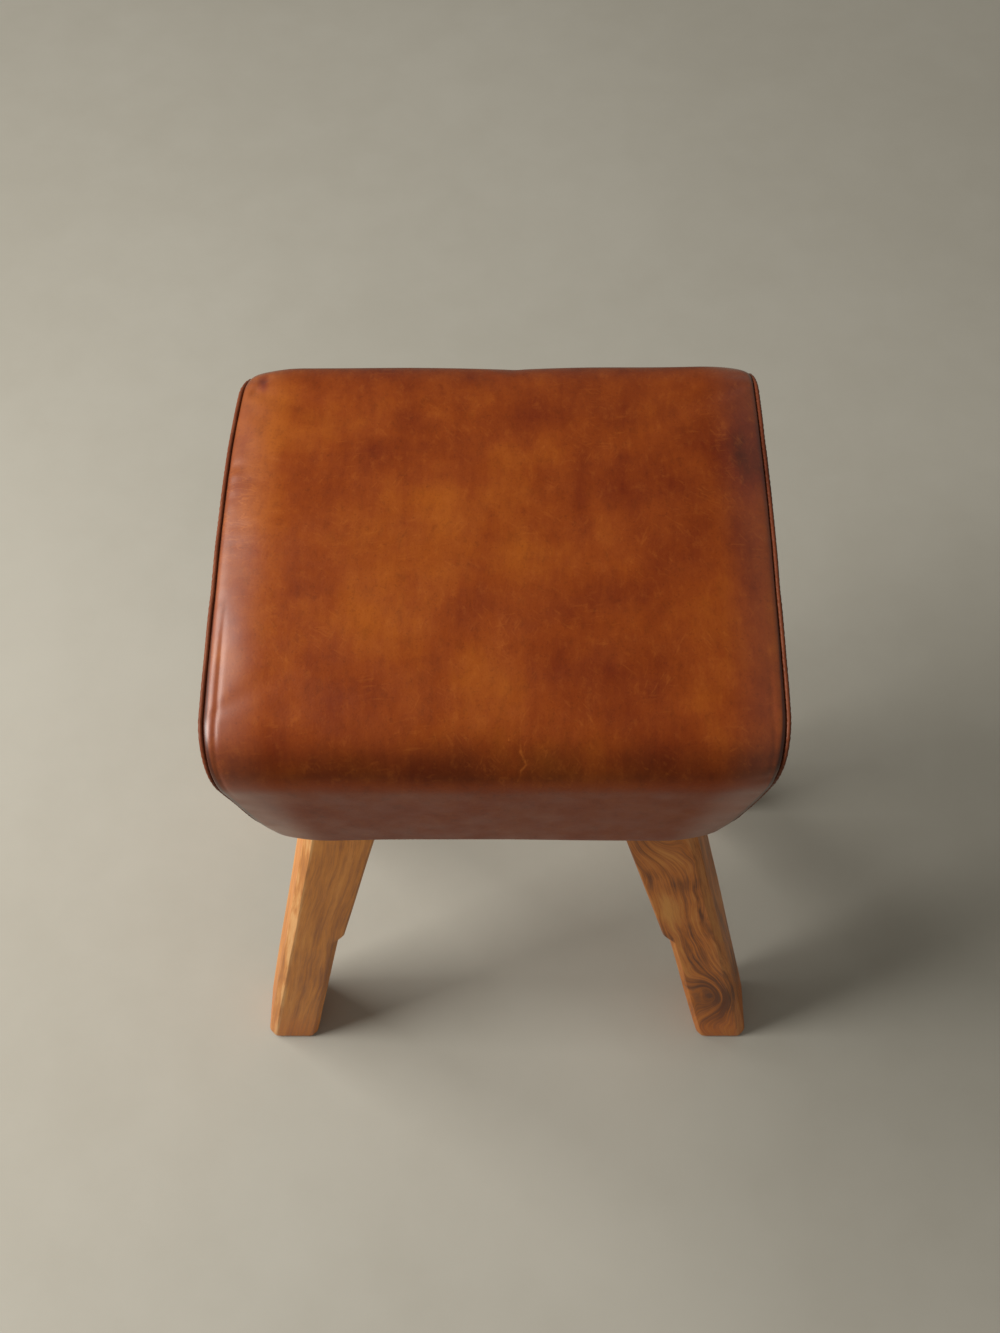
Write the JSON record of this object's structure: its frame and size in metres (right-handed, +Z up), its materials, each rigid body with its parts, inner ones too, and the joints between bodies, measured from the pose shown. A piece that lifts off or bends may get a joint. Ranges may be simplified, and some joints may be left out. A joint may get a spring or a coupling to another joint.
{
  "type": "bar stool",
  "caption": "Backless bar stool with a padded tan leather seat, crowned and piped at both ends, on splayed stop-chamfered wooden legs",
  "frame": {"origin": "on the floor, under the middle of the seat", "axes": "+Z up, +X along the seat's long way to its right end, -Y to the front as in the picture"},
  "size_m": [0.529, 0.384, 0.7479],
  "materials": {
    "wrap_leather": "aged tan hide, waxed and softly glossy",
    "end_leather": "aged tan hide, a little darker than the top",
    "piping_leather": "tan hide over a cord, rubbed lighter on its crest",
    "seat_foam": "open upholstery foam, hidden under the hide",
    "plywood": "bare plywood, hidden",
    "frame_wood": "bare hardwood, hidden",
    "golden_wood": "oiled rosewood with straight golden grain",
    "figured_wood": "oiled rosewood, dark and swirling",
    "plated_steel": "zinc plated",
    "black_cloth": "thin woven dust cloth",
    "staple_wire": "flat galvanised wire"
  },
  "bodies": {
    "root": {"leather_wrap": "wrap_leather", "right_end_panel": "end_leather", "left_end_panel": "end_leather", "right_piping": "piping_leather", "left_piping": "piping_leather", "top_cushion": "seat_foam", "rear_pad": "seat_foam", "front_pad": "seat_foam", "right_end_pad": "seat_foam", "left_end_pad": "seat_foam", "seat_deck": "plywood", "rear_rail": "frame_wood", "front_rail": "frame_wood", "right_end_rail": "frame_wood", "left_end_rail": "frame_wood", "rear_right_leg": "figured_wood", "rear_left_leg": "golden_wood", "front_right_leg": "figured_wood", "front_left_leg": "golden_wood", "leg_bolts": "plated_steel", "leg_washers": "plated_steel", "leg_nuts": "plated_steel", "rail_screws": "plated_steel", "deck_screws": "plated_steel", "dust_cover": "black_cloth", "hem_staples": "staple_wire", "cover_staples": "staple_wire"}
  },
  "joints": []
}
